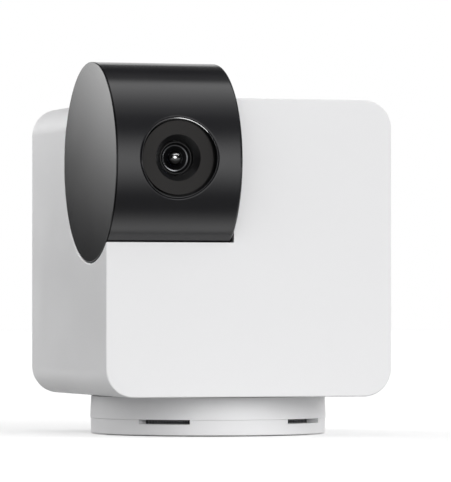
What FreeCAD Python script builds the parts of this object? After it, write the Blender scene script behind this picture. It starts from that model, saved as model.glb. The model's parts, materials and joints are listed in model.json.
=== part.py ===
import FreeCAD
import Part
import math
import os

from FreeCAD import Vector

# Pan and tilt pet camera: a white cube on a round base, with a black camera drum
# let into its top left corner.
# Millimetres. X is to the right seen from the front, Y to the back, Z up.
# The origin is on the pan axis, in the plane that the foot stands on.

# Body of the camera, a cube with rounded corners in the front view
body_width = 64.0
body_height = 64.0
body_depth = 64.0
body_corner = 6.1
pan_axis_back = 31.45
body_wall = 2.0
rear_edge_round = 0.95
front_edge_round = 0.3

# Round base
base_height = 8.4
base_radius = 25.87
base_wall = 1.7
base_top = 1.5
base_flare = 0.14
base_draft = 0.2
base_edge_round = 0.3
base_top_round = 0.1
seam_height = 3.6
seam_round = 0.15
foot_lift = 0.2
cover_floor = 1.8
cover_lip = 0.9
cover_lip_height = 1.0
slot_height = 1.0
slot_angle = 26.8
slot_centre_angle = 38.7
foot_radius = 23.6
foot_thickness = 1.0

# Gaps and clearances
pan_gap = 0.2
drum_clearance = 0.27
drum_end_gap = 0.45
running_clearance = 0.05
fit_clearance = 0.1
seat_gap = 0.05
cut_margin = 1.0
edge_tolerance = 0.02

# Camera drum
drum_radius = 21.48
drum_wall = 1.6
drum_end_wall = 2.4
drum_axis_back = 13.07
drum_axis_down = 13.54
pocket_length = 28.4
pocket_edge_round = 0.3
drum_end_round = 0.7
cap_rim = 0.4
cap_edge_round = 0.2
cap_thickness = 1.6
cap_ring_width = 1.4
cap_ring_depth = 2.0
cradle_wall = 1.4
cradle_end_wall = 2.0

# Lens, window and what is behind them
lens_rise = 0.4
lens_hole_radius = 8.53
lens_hole_round = 0.35
lens_tube_wall = 1.4
lens_tube_depth = 8.0
window_radius = 7.9
window_recess = 1.5
window_thickness = 1.5
window_edge_round = 0.15
window_mouth_radius = 4.95
throat_clearance = 0.15
bezel_inner = 8.0
bezel_shelf = 6.4
bezel_recess = 2.4
bezel_depth = 2.4
barrel_radius = 3.6
barrel_recess = 0.75
barrel_length = 8.6
barrel_mouth_radius = 3.0
barrel_mouth_depth = 1.1
barrel_chamfer = 0.2
barrel_bore = 1.2
glass_recess = 1.3
rear_glass_length = 5.0
glass_radius = 1.5
glass_dome = 0.75
glass_edge = 1.2
holder_size = 14.0
holder_depth = 7.0
holder_foot = 2.5
holder_neck = 5.0
sensor_room = 1.6
sensor_margin = 1.0
sensor_post_offset = 8.1
sensor_post_radius = 1.9
sensor_board_width = 17.6
sensor_board_height = 19.0
sensor_board_back = 6.0
board_thickness = 1.0
sensor_size = 7.0
sensor_thickness = 1.1
infrared_board_thickness = 0.8
light_count = 6
light_size = 1.5
light_height = 0.5
light_ring_radius = 5.3

# Gear pairs of the pan and tilt drives, both alike
gear_module = 0.6
large_teeth = 32
small_teeth = 16
gear_width = 3.5
pinion_extra = 0.4
gear_backlash = 0.16
gear_addendum = 0.85
gear_dedendum = 1.2
pressure_angle = 20.0

# Pan spindle and bearing
spindle_radius = 6.0
spindle_bore = 3.6
spindle_flange = 12.0
spindle_flange_thickness = 1.5
spindle_pad_radius = 14.0
spindle_pad_height = 3.0
spindle_screw_ring_radius = 9.5
spindle_flat = 5.2
bush_wall = 1.45
bush_length = 3.0
hub_wall = 1.7
hub_height = 0.8
gear_gap = 0.3
clip_thickness = 0.8
clip_reach = 2.0
clip_groove = 0.6
clip_land = 0.6
clip_opening = 60.0
washer_inner = 13.0
washer_outer = 19.0
washer_slack = 0.05

# Tilt shaft and bearings
shaft_radius = 5.0
shaft_bore = 2.6
shaft_flange = 8.5
shaft_flange_thickness = 1.5
shaft_screw_ring_radius = 6.75
shaft_screw_angles = (0.0, 120.0, 240.0)
shaft_flat = 4.3
journal_step = 0.1
shaft_end_extra = 0.4
tilt_bush_length = 5.0
outer_bush_length = 2.8
bracket_thickness = 2.0
bracket_gap = 1.6
bracket_margin = 2.8
bracket_post_radius = 2.3
bracket_post_ring_radius = 18.5
bracket_post_angles = (-112.0, -88.0, 20.0)
tilt_motor_angle = -50.0

# Geared stepper motors, both alike
motor_radius = 8.0
motor_length = 11.0
motor_offset = 5.0
motor_plate = 0.8
motor_ear_span = 20.0
motor_ear_radius = 2.2
motor_collar_radius = 2.7
motor_collar_height = 1.0
motor_shaft_radius = 1.5
motor_shaft_depth = 6.0
pan_motor_angle = -45.0
motor_boss_radius = 2.2

# Screws
screw_radius = 0.9
screw_head_radius = 1.7
screw_head_height = 1.1
screw_slot_width = 0.5
screw_slot_depth = 0.5
screw_slot_span = 2.2
screw_bite = 4.0
short_bite = 2.0

# Rear cover and what it carries
rear_cover_thickness = 2.0
rear_cover_inset = 0.3
rear_cover_gap = 0.15
rear_post_size = 7.0
rear_post_length = 14.0
rear_counterbore = 1.2
grille_radius = 9.6
grille_pitch = 2.4
grille_hole = 0.6
speaker_radius = 14.0
speaker_depth = 4.5
speaker_rim = 2.0
speaker_ring_wall = 1.2
speaker_ring_depth = 2.0
magnet_radius = 6.5
speaker_plate = 0.6
cone_step = 1.0
cone_thickness = 0.4
speaker_height = 40.0
board_gap = 8.3
standoff_radius = 2.4

# Main circuit board
main_board_width = 50.0
main_board_height = 43.0
main_board_bottom = 19.5
main_board_thickness = 1.6
standoff_inset = 3.5
shield_size = 22.0
shield_height = 2.6
shield_wall = 0.3
connector_width = 5.0
connector_height = 4.0
connector_depth = 3.2
shield_x = -9.0
shield_z = 42.0
chip_size = 12.0
chip_height = 1.2

# Reset button, its switch and the microphone
button_radius = 2.0
button_guide_gap = 0.15
button_flange = 3.0
button_flange_thickness = 0.8
button_travel = 0.5
button_recess = 0.1
button_x = 12.0
button_drop = 15.5
switch_size = 4.4
switch_height = 1.5
switch_plunger_radius = 1.0
switch_plunger_height = 0.6
microphone_x = -12.0
microphone_radius = 2.4
microphone_height = 2.0
microphone_hole = 0.6

# Socket for the power lead, and the board that carries it
socket_width = 8.94
socket_height = 3.16
socket_length = 7.35
socket_skin = 0.3
socket_round = 1.25
socket_back = 1.0
socket_recess = 0.3
socket_clearance = 0.12
tongue_width = 6.6
tongue_thickness = 0.7
tongue_length = 4.6
base_board_width = 24.0
base_board_front = 12.2
base_board_lift = 0.4
base_board_rest = 2.0
base_screw_ring_radius = 17.8
base_screw_angles = (30.0, 150.0, 270.0)
base_boss_radius = 2.3
base_pad_radius = 3.0
base_pad_height = 1.2
base_head_depth = 1.2
spindle_screw_angles = (30.0, 150.0, 270.0)

# Aerial and inner leads
aerial_length = 22.0
aerial_width = 8.0
aerial_thickness = 0.4
power_lead_radius = 0.48
power_lead_offset = 0.63
motor_lead_radius = 0.7
camera_lead_radius = 1.0
lead_bend = 3.0
short_lead_bend = 1.2
lead_drop = 3.0
lead_slack = 0.6
camera_lead_x = 15.5

# Places that follow from the sizes above
x_left = -body_width / 2
x_right = body_width / 2
y_front = -pan_axis_back
y_back = y_front + body_depth
z_body = base_height + pan_gap
z_top = z_body + body_height
z_floor = z_body + body_wall
z_ceiling = z_top - body_wall
x_inner_left = x_left + body_wall
x_inner_right = x_right - body_wall
y_inner_front = y_front + body_wall
y_cover_outer = y_back - rear_cover_inset
y_cover_inner = y_cover_outer - rear_cover_thickness
drum_y = y_front + drum_axis_back
drum_z = z_top - drum_axis_down
pocket_radius = drum_radius + drum_clearance
x_notch = x_left + pocket_length
x_drum_right = x_notch - drum_end_gap
x_end_wall = x_notch + cradle_end_wall
lens_x = (x_left + x_drum_right) / 2
lens_z = drum_z + lens_rise
y_drum_front = drum_y - drum_radius
y_window = y_drum_front + window_recess
y_window_back = y_window + window_thickness
y_barrel = y_window + barrel_recess
y_glass = y_barrel + glass_recess
window_throat_radius = barrel_radius + throat_clearance
glass_seat_radius = glass_radius + fit_clearance
y_sensor_board = drum_y - sensor_board_back
y_infrared_back = y_drum_front + bezel_recess + bezel_depth + infrared_board_thickness
y_post_start = y_infrared_back + seat_gap
drum_inner = drum_radius - drum_wall
lens_tube_outer = lens_hole_radius + lens_tube_wall
bush_inner = spindle_radius + running_clearance
bush_outer = bush_inner + bush_wall
tilt_bush_inner = shaft_radius + running_clearance
tilt_bush_outer = tilt_bush_inner + bush_wall
journal_radius = shaft_flat - journal_step
outer_bush_inner = journal_radius + running_clearance
outer_bush_outer = outer_bush_inner + bush_wall
gear_distance = gear_module * (large_teeth + small_teeth) / 2
z_hub = z_floor + hub_height
z_pan_gear = z_body + bush_length + gear_gap
z_pan_gear_top = z_pan_gear + gear_width
z_clip = z_pan_gear_top + seat_gap
z_spindle_top = z_clip + clip_thickness + clip_land
z_cover_floor = foot_lift + cover_floor
z_pad = base_height - spindle_pad_height
z_flange = z_pad - spindle_flange_thickness
housing_inner = base_radius - base_wall
lip_outer = housing_inner - fit_clearance
lip_inner = lip_outer - cover_lip
z_base_seat = foot_thickness + base_head_depth
z_boss_foot = z_cover_floor + base_pad_height
z_base_board = z_cover_floor + base_board_lift
z_base_board_top = z_base_board + board_thickness
z_socket = z_base_board_top
y_socket_mouth = base_radius - socket_recess
y_socket = y_socket_mouth - socket_length
z_pan_pinion = z_pan_gear - pinion_extra / 2
z_pan_plate = z_pan_gear_top + pinion_extra / 2 + gear_gap + motor_collar_height
x_hub = x_notch + tilt_bush_length
x_tilt_gear = x_hub + gear_gap
x_tilt_pinion = x_tilt_gear - pinion_extra / 2
x_tilt_gear_end = x_tilt_gear + gear_width
x_bracket = x_tilt_gear_end + bracket_gap
x_bracket_end = x_bracket + bracket_thickness
x_shaft_end = x_bracket + outer_bush_length + shaft_end_extra
y_main_board_back = y_cover_inner - board_gap
y_main_board = y_main_board_back - main_board_thickness
y_connector = y_main_board - connector_depth
button_z = speaker_height - button_drop
z_main_board_top = main_board_bottom + main_board_height

UP = (0, 0, 1)
DOWN = (0, 0, -1)
RIGHT = (1, 0, 0)
LEFT = (-1, 0, 0)
BACK = (0, 1, 0)
FRONT = (0, -1, 0)

NODES = {}


def cylinder(radius, length, base, direction):
    return Part.makeCylinder(radius, length, Vector(*base), Vector(*direction))


def tube(outer, inner, length, base, direction):
    return cylinder(outer, length, base, direction).cut(cylinder(inner, length, base, direction))


def drum_rod(radius, length, x):
    # A cylinder on the drum's axis, running to the right from x
    return cylinder(radius, length, (x, drum_y, drum_z), RIGHT)


def drum_tube(outer, inner, length, x):
    return tube(outer, inner, length, (x, drum_y, drum_z), RIGHT)


def lens_rod(radius, length, y):
    # A cylinder on the lens's axis, running to the back from y
    return cylinder(radius, length, (lens_x, y, lens_z), BACK)


def lens_tube(outer, inner, length, y):
    return tube(outer, inner, length, (lens_x, y, lens_z), BACK)


def block(x0, x1, y0, y1, z0, z1):
    return Part.makeBox(x1 - x0, y1 - y0, z1 - z0, Vector(x0, y0, z0))


def joined(shapes):
    whole = shapes[0]
    if len(shapes) > 1:
        whole = shapes[0].fuse(shapes[1:])
    return whole.removeSplitter()


def polar(radius, angle, centre=(0.0, 0.0)):
    turn = math.radians(angle)
    return centre[0] + radius * math.cos(turn), centre[1] + radius * math.sin(turn)


def keep(name, shapes):
    # Stores a node: one solid, or a group of separate solids
    if not isinstance(shapes, (list, tuple)):
        shapes = [shapes]
    solids = []
    for shape in shapes:
        solids.extend(shape.Solids)
    NODES[name] = solids


def rounded_prism(x0, x1, z0, z1, corner, y0, y1):
    # A rounded rectangle in the XZ plane, extruded along Y
    arcs = []
    lines = []
    centres = ((x1 - corner, z1 - corner, 0), (x0 + corner, z1 - corner, 90),
               (x0 + corner, z0 + corner, 180), (x1 - corner, z0 + corner, 270))
    ends = []
    for cx, cz, start in centres:
        points = []
        for angle in (start, start + 45, start + 90):
            px, pz = polar(corner, angle, (cx, cz))
            points.append(Vector(px, y0, pz))
        arcs.append(Part.Arc(*points).toShape())
        ends.append((points[0], points[2]))
    for i in range(4):
        lines.append(Part.LineSegment(ends[i][1], ends[(i + 1) % 4][0]).toShape())
    wire = Part.Wire(Part.__sortEdges__(arcs + lines))
    return Part.Face(wire).extrude(Vector(0, y1 - y0, 0))


def rounded_corners(shape, radius, wanted):
    # Rounds the edges whose middle point passes the test
    edges = []
    for edge in shape.Edges:
        middle = edge.valueAt((edge.FirstParameter + edge.LastParameter) / 2)
        if wanted(middle):
            edges.append(edge)
    return shape.makeFillet(radius, edges)


def screw(head_point, direction, length):
    # A pan head screw: its head stands on head_point, its thread runs along direction
    way = Vector(*direction)
    seat = Vector(*head_point)
    head = Part.makeCylinder(screw_head_radius, screw_head_height, seat - way * screw_head_height, way)
    thread = Part.makeCylinder(screw_radius, length, seat, way)
    body = head.fuse(thread).removeSplitter()
    side = Vector(0, 0, 1) if abs(way.z) < 0.5 else Vector(1, 0, 0)
    across = way.cross(side)
    top = seat - way * screw_head_height
    span = screw_slot_span
    slots = []
    for along, other in ((side, across), (across, side)):
        corner = top - along * (span / 2) - other * (screw_slot_width / 2)
        ring = [corner, corner + along * span, corner + along * span + other * screw_slot_width,
                corner + other * screw_slot_width, corner]
        face = Part.Face(Part.makePolygon(ring))
        slots.append(face.extrude(way * screw_slot_depth))
    return body.cut(slots)


def involute_gear(teeth, width):
    # A spur gear on the Z axis with a tooth on +X. Flanks are involutes of the pitch circle
    pitch = gear_module * teeth / 2
    base = pitch * math.cos(math.radians(pressure_angle))
    tip = pitch + gear_module * gear_addendum
    root = pitch - gear_module * gear_dedendum
    low = max(base, root)

    def roll(radius):
        return math.tan(math.acos(min(1.0, base / radius))) - math.acos(min(1.0, base / radius))

    half_tooth = math.pi / (2 * teeth) - gear_backlash / (4 * pitch)
    flank = []
    steps = 5
    for i in range(steps + 1):
        radius = low + (tip - low) * i / steps
        flank.append((radius, half_tooth + roll(pitch) - roll(radius)))
    pieces = []
    pitch_angle = 2 * math.pi / teeth

    def at(radius, angle):
        return Vector(radius * math.cos(angle), radius * math.sin(angle), 0)

    for k in range(teeth):
        centre = k * pitch_angle
        lower = [at(r, centre - a) for r, a in flank]
        upper = [at(r, centre + a) for r, a in reversed(flank)]
        edge_angle = flank[0][1]
        if root < low:
            pieces.append(Part.LineSegment(at(root, centre - edge_angle), lower[0]).toShape())
        rising = Part.BSplineCurve()
        rising.interpolate(lower)
        pieces.append(rising.toShape())
        pieces.append(Part.Arc(lower[-1], at(tip, centre), upper[0]).toShape())
        falling = Part.BSplineCurve()
        falling.interpolate(upper)
        pieces.append(falling.toShape())
        if root < low:
            pieces.append(Part.LineSegment(upper[-1], at(root, centre + edge_angle)).toShape())
        start = at(root, centre + edge_angle)
        middle = at(root, centre + pitch_angle / 2)
        end = at(root, centre + pitch_angle - edge_angle)
        pieces.append(Part.Arc(start, middle, end).toShape())
    return Part.Face(Part.Wire(pieces)).extrude(Vector(0, 0, width))


def lead(points, radius, bend):
    # A round lead along straight runs joined by tangent arcs
    corners = [Vector(*p) for p in points]
    edges = []
    last = corners[0]
    for i in range(1, len(corners) - 1):
        inward = (corners[i] - corners[i - 1]).normalize()
        outward = (corners[i + 1] - corners[i]).normalize()
        half = inward.getAngle(outward) / 2
        back = bend * math.tan(half)
        start = corners[i] - inward * back
        end = corners[i] + outward * back
        rise = bend / math.cos(half) - bend
        toward = (outward - inward).normalize()
        edges.append(Part.LineSegment(last, start).toShape())
        edges.append(Part.Arc(start, corners[i] + toward * rise, end).toShape())
        last = end
    edges.append(Part.LineSegment(last, corners[-1]).toShape())
    path = Part.Wire(edges)
    way = (corners[1] - corners[0]).normalize()
    section = Part.Wire(Part.Circle(corners[0], way, radius).toShape())
    return path.makePipeShell([section], True, False)


def along_x(shape, x, y, z):
    # Turns a shape made on the Z axis onto the X axis, its own X pointing to the back, and places it
    turned = shape.copy()
    turned.rotate(Vector(0, 0, 0), Vector(1, 1, 1), 120)
    turned.translate(Vector(x, y, z))
    return turned


def to_tilt_axis(shape, x):
    # A shape made on the Z axis, carried to the drum's axis with its foot at x
    return along_x(shape, x, drum_y, drum_z)


def drive_place(shape, angle):
    # A shape made on the Z axis, moved out to where the motor's shaft stands at this angle
    placed = shape.copy()
    placed.rotate(Vector(0, 0, 0), Vector(0, 0, 1), angle)
    placed.translate(Vector(*polar(gear_distance, angle), 0))
    return placed


def d_section(radius, flat, length):
    # A shaft on the Z axis with one flat side towards +X
    keep_side = block(-2 * radius, flat, -2 * radius, 2 * radius, 0, length)
    return cylinder(radius, length, (0, 0, 0), UP).common(keep_side)


def retaining_clip(groove_radius, outer_radius):
    # A snap ring on the Z axis, open towards -X
    ring = tube(outer_radius, groove_radius + seat_gap, clip_thickness, (0, 0, 0), UP)
    wedge = Part.makeCylinder(outer_radius + cut_margin, clip_thickness, Vector(0, 0, 0), Vector(0, 0, 1),
                              clip_opening)
    wedge.rotate(Vector(0, 0, 0), Vector(0, 0, 1), 180 - clip_opening / 2)
    return ring.cut(wedge)


def pinion(angle):
    # The small gear, turned so that its teeth fall between those of the large one
    past_tooth = angle % (360 / large_teeth)
    turn = 180 + past_tooth * large_teeth / small_teeth + 180 / small_teeth
    gear = involute_gear(small_teeth, gear_width + pinion_extra)
    gear = gear.cut(cylinder(motor_shaft_radius, gear_width + pinion_extra, (0, 0, 0), UP))
    gear.rotate(Vector(0, 0, 0), Vector(0, 0, 1), turn)
    return drive_place(gear, angle)


def motor():
    # A geared stepper on the Z axis: the shaft leaves downwards at the origin, the can stands to one side
    can = cylinder(motor_radius, motor_length, (motor_offset, 0, 0), UP)
    parts = [can, cylinder(motor_collar_radius, motor_collar_height, (0, 0, 0), DOWN)]
    half = motor_ear_span / 2
    ear_bar = block(motor_offset - motor_ear_radius, motor_offset + motor_ear_radius, -half, half, 0,
                    motor_plate)
    parts.append(ear_bar)
    holes = [cylinder(motor_shaft_radius + running_clearance, motor_shaft_depth + motor_collar_height,
                      (0, 0, -motor_collar_height), UP)]
    for side in (-1, 1):
        parts.append(cylinder(motor_ear_radius, motor_plate, (motor_offset, side * half, 0), UP))
        holes.append(cylinder(screw_radius + fit_clearance, motor_plate, (motor_offset, side * half, 0),
                              UP))
    return joined(parts).cut(holes)


def ear_points():
    half = motor_ear_span / 2
    return [(motor_offset, -half), (motor_offset, half)]


def base_screw_points():
    return [polar(base_screw_ring_radius, angle) for angle in base_screw_angles]


def spindle_screw_points():
    return [polar(spindle_screw_ring_radius, angle) for angle in spindle_screw_angles]


def bracket_post_points():
    return [polar(bracket_post_ring_radius, angle, (drum_y, drum_z)) for angle in bracket_post_angles]


def rear_screw_points():
    half = rear_post_size / 2
    points = []
    for x in (x_inner_left + half, x_inner_right - half):
        for z in (z_floor + half, z_ceiling - half):
            points.append((x, z))
    return points


def board_screw_points():
    points = []
    for x in (-main_board_width / 2 + standoff_inset, main_board_width / 2 - standoff_inset):
        for z in (main_board_bottom + standoff_inset, z_main_board_top - standoff_inset):
            points.append((x, z))
    return points


def socket_opening():
    grow = socket_clearance
    half = socket_width / 2 + grow
    return rounded_prism(-half, half, z_socket - grow, z_socket + socket_height + grow,
                         socket_round + grow, y_socket - cut_margin, base_radius + cut_margin)


def make_base_housing():
    low = base_radius + base_flare
    outer = Part.makeCone(low, low - base_draft, base_height - seam_height, Vector(0, 0, seam_height))
    outer = rounded_corners(outer, base_top_round, lambda p: p.z > base_height - edge_tolerance)
    room = cylinder(housing_inner, base_height - base_top - seam_height, (0, 0, seam_height), UP)
    shape = outer.cut(room)
    additions = [cylinder(spindle_pad_radius, spindle_pad_height, (0, 0, z_pad), UP)]
    for x, y in base_screw_points():
        additions.append(cylinder(base_boss_radius, base_height - base_top - z_boss_foot,
                                  (x, y, z_boss_foot), UP))
    shape = joined([shape] + additions)
    cutters = [cylinder(spindle_radius + fit_clearance, spindle_pad_height, (0, 0, z_pad), UP),
               socket_opening()]
    for x, y in base_screw_points():
        cutters.append(cylinder(screw_radius, screw_bite, (x, y, z_boss_foot), UP))
    for x, y in spindle_screw_points():
        cutters.append(cylinder(screw_radius, short_bite, (x, y, z_pad), UP))
    keep("base_housing", shape.cut(cutters))


def make_base_plate():
    outer = cylinder(base_radius, seam_height - foot_lift, (0, 0, foot_lift), UP)
    outer = rounded_corners(outer, base_edge_round, lambda p: p.z < foot_lift + edge_tolerance)
    outer = rounded_corners(outer, seam_round, lambda p: p.z > seam_height - edge_tolerance)
    lip = cylinder(lip_outer, cover_lip_height, (0, 0, seam_height), UP)
    shape = outer.fuse(lip)
    shape = shape.cut(cylinder(lip_inner, seam_height + cover_lip_height, (0, 0, z_cover_floor), UP))
    pads = [cylinder(base_pad_radius, base_pad_height, (x, y, z_cover_floor), UP)
            for x, y in base_screw_points()]
    shape = joined([shape] + pads)
    cutters = [socket_opening()]
    cutters.append(cylinder(foot_radius + seat_gap, foot_thickness - foot_lift, (0, 0, foot_lift), UP))
    for x, y in base_screw_points():
        cutters.append(cylinder(screw_radius + fit_clearance, z_boss_foot, (x, y, foot_thickness), UP))
        cutters.append(cylinder(screw_head_radius + fit_clearance, base_head_depth, (x, y, foot_thickness),
                                UP))
    centres = [way + side for way in (-90, 90) for side in (-slot_centre_angle, slot_centre_angle)]
    for centre in centres:
        wedge = Part.makeCylinder(base_radius + cut_margin, slot_height,
                                  Vector(0, 0, seam_height - slot_height),
                                  Vector(0, 0, 1), slot_angle)
        wedge.rotate(Vector(0, 0, 0), Vector(0, 0, 1), centre - slot_angle / 2)
        cutters.append(wedge.cut(cylinder(lip_inner, base_height, (0, 0, 0), UP)))
    keep("base_plate", shape.cut(cutters))


def make_foot_pad():
    keep("foot_pad", cylinder(foot_radius, foot_thickness, (0, 0, 0), UP))


def make_base_screws():
    length = z_boss_foot - z_base_seat + screw_bite
    keep("base_screws", [screw((x, y, z_base_seat), UP, length) for x, y in base_screw_points()])


def make_spindle():
    shape = joined([cylinder(spindle_flange, spindle_flange_thickness, (0, 0, z_flange), UP),
                    cylinder(spindle_radius, z_spindle_top - z_flange, (0, 0, z_flange), UP)])
    cutters = [cylinder(spindle_bore, z_spindle_top - z_flange, (0, 0, z_flange), UP)]
    cutters.append(block(spindle_flat, 2 * spindle_radius, -2 * spindle_radius, 2 * spindle_radius,
                         z_pan_gear, z_spindle_top))
    cutters.append(tube(2 * spindle_radius, spindle_radius - clip_groove, clip_thickness + seat_gap,
                        (0, 0, z_clip), UP))
    for x, y in spindle_screw_points():
        cutters.append(cylinder(screw_radius + fit_clearance, spindle_flange_thickness, (x, y, z_flange),
                                UP))
    keep("pan_spindle", shape.cut(cutters))


def make_spindle_screws():
    length = spindle_flange_thickness + short_bite
    keep("spindle_screws", [screw((x, y, z_flange), UP, length) for x, y in spindle_screw_points()])


def make_pan_gear():
    gear = involute_gear(large_teeth, gear_width)
    gear = gear.cut(d_section(spindle_radius + seat_gap, spindle_flat + seat_gap, gear_width))
    gear.translate(Vector(0, 0, z_pan_gear))
    keep("pan_gear", gear)


def make_pan_clip():
    clip = retaining_clip(spindle_radius - clip_groove, spindle_radius + clip_reach)
    clip.translate(Vector(0, 0, z_clip))
    keep("pan_clip", clip)


def make_glide_washer():
    keep("glide_washer", tube(washer_outer, washer_inner, pan_gap - washer_slack, (0, 0, base_height), UP))


def make_power_board():
    half = base_board_width / 2
    board = block(-half, half, base_board_front, base_radius, z_base_board, z_base_board_top)
    board = board.common(cylinder(lip_inner - fit_clearance, base_height, (0, 0, 0), UP))
    y_rest = base_board_front + base_board_rest
    rest = block(-half / 2, half / 2, y_rest, y_rest + base_board_rest, z_cover_floor, z_base_board)
    keep("power_board", joined([board, rest]))


def make_power_socket():
    half = socket_width / 2
    low = z_socket
    high = z_socket + socket_height
    skin = rounded_prism(-half, half, low, high, socket_round, y_socket, y_socket_mouth)
    room = rounded_prism(-half + socket_skin, half - socket_skin, low + socket_skin, high - socket_skin,
                         socket_round - socket_skin, y_socket + socket_back,
                         y_socket_mouth + cut_margin)
    keep("power_socket", skin.cut(room))
    middle = (low + high) / 2
    y_tongue = y_socket + socket_back
    keep("socket_tongue",
         block(-tongue_width / 2, tongue_width / 2, y_tongue, y_tongue + tongue_length,
               middle - tongue_thickness / 2, middle + tongue_thickness / 2))


def make_power_leads():
    leads = []
    z = z_base_board_top - board_thickness / 2
    for side in (-1, 1):
        x = side * power_lead_offset
        leads.append(lead([(x, base_board_front, z), (x, 0, z), (x, 0, z_spindle_top)],
                          power_lead_radius, short_lead_bend))
    keep("power_leads", leads)


def pocket_mouth():
    # What is taken off to round the pocket's edge on the left side
    ring_radius = pocket_radius + pocket_edge_round
    x_round = x_left + pocket_edge_round
    kept = Part.makeTorus(ring_radius, pocket_edge_round, Vector(x_round, drum_y, drum_z), Vector(*RIGHT))
    return drum_rod(ring_radius, pocket_edge_round, x_left).cut(kept)


def make_shell():
    outer = rounded_prism(x_left, x_right, z_body, z_top, body_corner, y_front, y_back)
    outer = rounded_corners(outer, front_edge_round, lambda p: p.y < y_front + edge_tolerance)
    outer = rounded_corners(outer, rear_edge_round, lambda p: p.y > y_back - edge_tolerance)
    inner = rounded_prism(x_inner_left, x_inner_right, z_floor, z_ceiling, body_corner - body_wall,
                          y_inner_front, y_back + cut_margin)
    pieces = [outer.cut(inner)]
    cradle = drum_rod(pocket_radius + cradle_wall, x_end_wall - x_left, x_left)
    pieces.append(cradle.common(outer))
    y_post = y_cover_inner - rear_post_length
    for x, z in rear_screw_points():
        half = rear_post_size / 2
        post = block(x - half - body_wall / 2, x + half + body_wall / 2, y_post, y_cover_inner,
                     z - half - body_wall / 2, z + half + body_wall / 2)
        room = block(x - half, x + half, y_post, y_cover_inner, z - half, z + half)
        pieces.append(post.common(outer).common(joined([room, outer.cut(inner).common(post)])))
    pieces.append(cylinder(bush_outer + seat_gap + hub_wall, z_hub - z_body, (0, 0, z_body), UP))
    for point in ear_points():
        boss = cylinder(motor_boss_radius, z_pan_plate - z_floor, (*point, z_floor), UP)
        pieces.append(drive_place(boss, pan_motor_angle))
    for y, z in bracket_post_points():
        pieces.append(cylinder(bracket_post_radius, x_bracket - x_end_wall, (x_end_wall, y, z), RIGHT))
    pieces.append(drum_rod(tilt_bush_outer + seat_gap + hub_wall, x_hub - x_end_wall - gear_gap,
                           x_end_wall))
    shape = joined(pieces)
    cutters = [drum_rod(pocket_radius, pocket_length + cut_margin, x_left - cut_margin), pocket_mouth()]
    cutters.append(cylinder(bush_outer + seat_gap, bush_length + cut_margin, (0, 0, z_body), UP))
    cutters.append(drum_rod(tilt_bush_outer + seat_gap, tilt_bush_length + cut_margin, x_notch))
    for x, z in rear_screw_points():
        cutters.append(cylinder(screw_radius, screw_bite, (x, y_cover_inner, z), FRONT))
    for point in ear_points():
        pilot = cylinder(screw_radius, screw_bite, (*point, z_pan_plate - screw_bite), UP)
        cutters.append(drive_place(pilot, pan_motor_angle))
    for y, z in bracket_post_points():
        cutters.append(cylinder(screw_radius, screw_bite, (x_bracket - screw_bite, y, z), RIGHT))
    keep("shell", shape.cut(cutters))


def make_pan_bush():
    keep("pan_bush", tube(bush_outer, bush_inner, bush_length, (0, 0, z_body), UP))


def make_tilt_bush():
    keep("tilt_bush", drum_tube(tilt_bush_outer, tilt_bush_inner, tilt_bush_length, x_notch))


def make_tilt_bracket():
    # Arms from the bearing to each post and to the motor's ears, in one flat plate on the Z axis
    plate = [cylinder(outer_bush_outer + hub_wall, bracket_thickness, (0, 0, 0), UP)]
    ends = [polar(bracket_post_ring_radius, angle) for angle in bracket_post_angles]
    for x, y in ends:
        reach = math.hypot(x, y)
        arm = block(0, reach, -bracket_margin, bracket_margin, 0, bracket_thickness)
        arm.rotate(Vector(0, 0, 0), Vector(0, 0, 1), math.degrees(math.atan2(y, x)))
        plate.append(arm)
        plate.append(cylinder(bracket_margin, bracket_thickness, (x, y, 0), UP))
    half = motor_ear_span / 2
    across = block(motor_offset - bracket_margin, motor_offset + bracket_margin, -half, half, 0,
                   bracket_thickness)
    seat = cylinder(motor_radius, bracket_thickness, (motor_offset, 0, 0), UP)
    neck = block(-gear_distance, motor_offset, -bracket_margin, bracket_margin, 0, bracket_thickness)
    motor_side = [across, seat, neck]
    holes = [cylinder(motor_collar_radius + fit_clearance, bracket_thickness, (0, 0, 0), UP)]
    for point in ear_points():
        motor_side.append(cylinder(bracket_margin, bracket_thickness, (*point, 0), UP))
        holes.append(cylinder(screw_radius, bracket_thickness, (*point, 0), UP))
    for shape in motor_side:
        plate.append(drive_place(shape, tilt_motor_angle))
    cutters = [drive_place(hole, tilt_motor_angle) for hole in holes]
    cutters.append(cylinder(outer_bush_outer + seat_gap, bracket_thickness, (0, 0, 0), UP))
    for x, y in ends:
        cutters.append(cylinder(screw_radius + fit_clearance, bracket_thickness, (x, y, 0), UP))
    keep("tilt_bracket", to_tilt_axis(joined(plate).cut(cutters), x_bracket))
    keep("bracket_screws", [screw((x_bracket_end, y, z), LEFT, bracket_thickness + screw_bite)
                            for y, z in bracket_post_points()])


def make_outer_bush():
    keep("outer_bush", drum_tube(outer_bush_outer, outer_bush_inner, outer_bush_length, x_bracket))


def make_pan_motor():
    can = drive_place(motor(), pan_motor_angle)
    can.translate(Vector(0, 0, z_pan_plate))
    keep("pan_motor", can)


def make_tilt_motor():
    keep("tilt_motor", to_tilt_axis(drive_place(motor(), tilt_motor_angle), x_bracket_end))


def make_motor_screws():
    screws = []
    for point in ear_points():
        long_screw = screw((*point, z_pan_plate + motor_plate), DOWN, motor_plate + screw_bite)
        screws.append(drive_place(long_screw, pan_motor_angle))
        short_screw = screw((*point, motor_plate), DOWN, motor_plate + bracket_thickness)
        screws.append(to_tilt_axis(drive_place(short_screw, tilt_motor_angle), x_bracket_end))
    keep("motor_screws", screws)


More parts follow.
